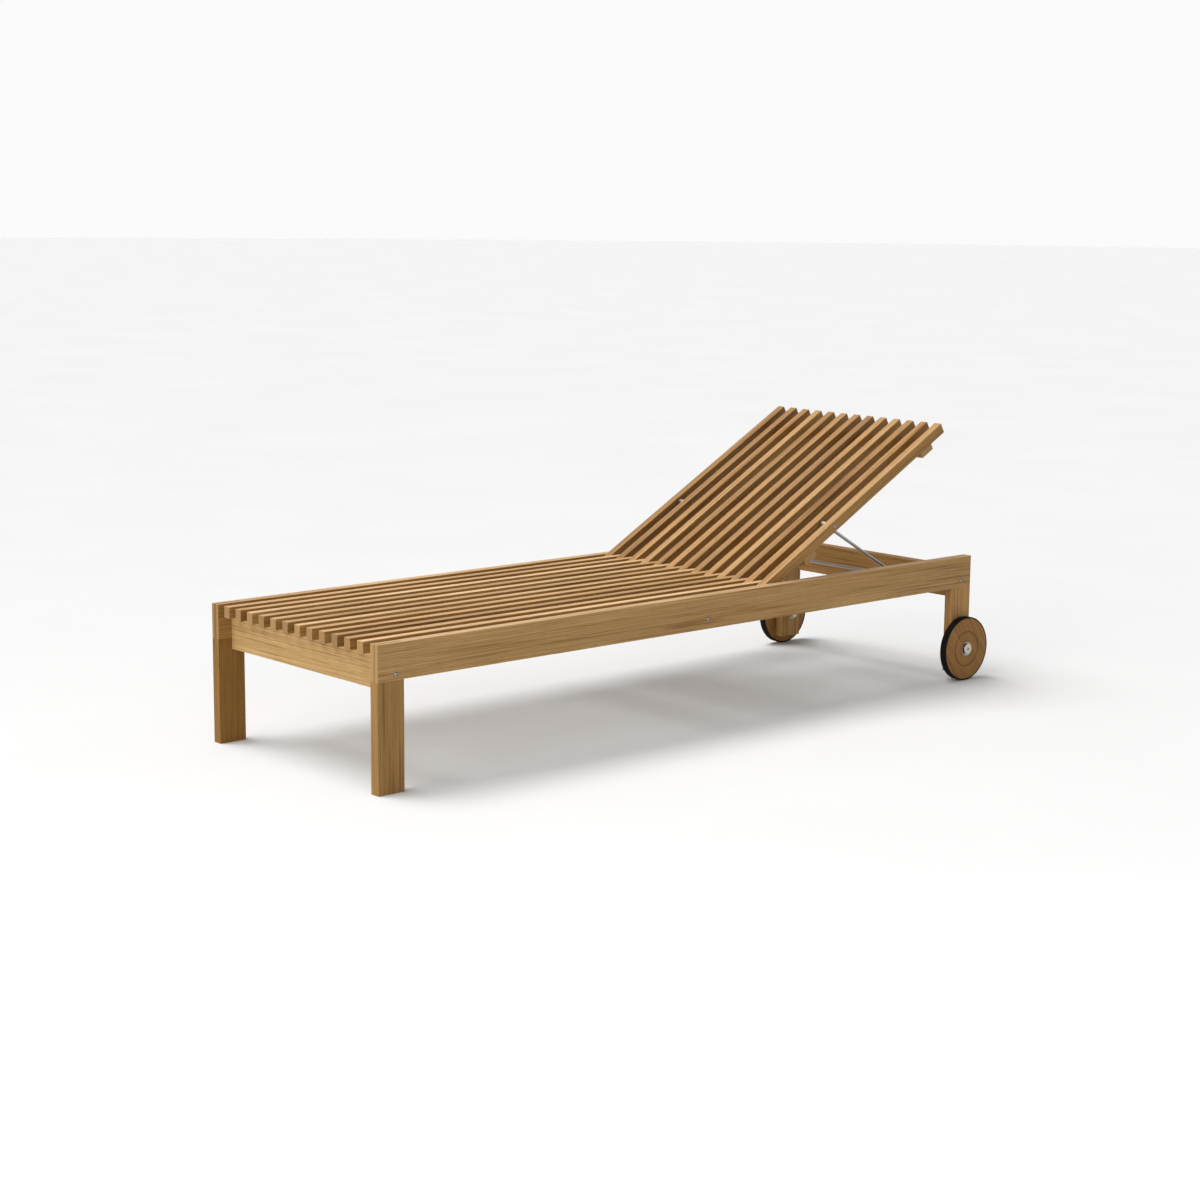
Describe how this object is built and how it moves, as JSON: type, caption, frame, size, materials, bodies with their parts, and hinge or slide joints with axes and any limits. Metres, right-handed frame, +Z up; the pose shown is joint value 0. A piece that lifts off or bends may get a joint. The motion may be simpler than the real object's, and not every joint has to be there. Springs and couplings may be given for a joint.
{
  "type": "reclining sun lounger",
  "caption": "Slatted wooden sun lounger with a reclining backrest held by a steel prop in notched racks, square front legs and wheels at the head end.",
  "frame": {"origin": "on the floor, in the middle of the overall length and width", "axes": "+X across the bed to the left of somebody lying on it, +Y along the bed from the foot end to the head end, +Z up"},
  "size_m": [0.7196, 2.0566, 0.7053],
  "materials": {
    "frame_wood": "oiled teak, straight grain, satin",
    "seat_wood": "oiled teak, straight grain, satin, each slat its own tone",
    "back_wood": "oiled teak, straight grain, satin, each slat its own tone",
    "wheel_wood": "turned teak, satin",
    "tyre_rubber": "plain black rubber, matt",
    "prop_steel": "brushed stainless rod",
    "fixing_steel": "polished stainless fixings"
  },
  "bodies": {
    "frame": {"rail_left": "frame_wood", "rail_right": "frame_wood", "leg_front_left": "frame_wood", "leg_front_right": "frame_wood", "leg_rear_left": "frame_wood", "leg_rear_right": "frame_wood", "apron_front": "frame_wood", "support_middle": "frame_wood", "apron_rear": "frame_wood", "rack_left": "frame_wood", "rack_right": "frame_wood", "seat_slat_01": "seat_wood", "seat_slat_02": "seat_wood", "seat_slat_03": "seat_wood", "seat_slat_04": "seat_wood", "seat_slat_05": "seat_wood", "seat_slat_06": "seat_wood", "seat_slat_07": "seat_wood", "seat_slat_08": "seat_wood", "seat_slat_09": "seat_wood", "seat_slat_10": "seat_wood", "seat_slat_11": "seat_wood", "seat_slat_12": "seat_wood", "hinge_rod": "prop_steel", "bolt_front_left": "fixing_steel", "bolt_front_right": "fixing_steel", "bolt_middle_left": "fixing_steel", "bolt_middle_right": "fixing_steel", "bolt_rear_left": "fixing_steel", "bolt_rear_right": "fixing_steel", "hub_washer_left": "fixing_steel", "hub_washer_right": "fixing_steel", "axle_bolt_left": "fixing_steel", "axle_bolt_right": "fixing_steel", "axle_nut_left": "fixing_steel", "axle_nut_right": "fixing_steel"},
    "backrest": {"back_slat_01": "back_wood", "back_slat_02": "back_wood", "back_slat_03": "back_wood", "back_slat_04": "back_wood", "back_slat_05": "back_wood", "back_slat_06": "back_wood", "back_slat_07": "back_wood", "back_slat_08": "back_wood", "back_slat_09": "back_wood", "back_slat_10": "back_wood", "back_slat_11": "back_wood", "back_slat_12": "back_wood", "back_slat_13": "back_wood", "batten_lower": "frame_wood", "batten_upper": "frame_wood", "prop_bolt_left": "fixing_steel", "prop_bolt_right": "fixing_steel", "prop_nut_left": "fixing_steel", "prop_nut_right": "fixing_steel"},
    "prop": {"prop_bail": "prop_steel"},
    "wheel_l": {"wheel_left": "wheel_wood", "tyre_left": "tyre_rubber"},
    "wheel_r": {"wheel_right": "wheel_wood", "tyre_right": "tyre_rubber"}
  },
  "joints": [
    {"name": "back_recline", "type": "hinge", "parent": "frame", "child": "backrest", "pos_m": [0, 0.2067, 0.3263], "axis": [1, 0, 0], "range_deg": [-29, 21]},
    {"name": "prop_swing", "type": "hinge", "parent": "backrest", "child": "prop", "pos_m": [0, 0.45553, 0.46423], "axis": [1, 0, 0], "range_deg": [-40, 55]},
    {"name": "wheel_left_spin", "type": "hinge", "parent": "frame", "child": "wheel_l", "pos_m": [0.344, 0.9407, 0.0876], "axis": [1, 0, 0], "continuous": true},
    {"name": "wheel_right_spin", "type": "hinge", "parent": "frame", "child": "wheel_r", "pos_m": [-0.344, 0.9407, 0.0876], "axis": [1, 0, 0], "continuous": true}
  ],
  "couplings": [
    {"joint": "prop_swing", "follows": "back_recline", "ratio": -1.8646}
  ]
}
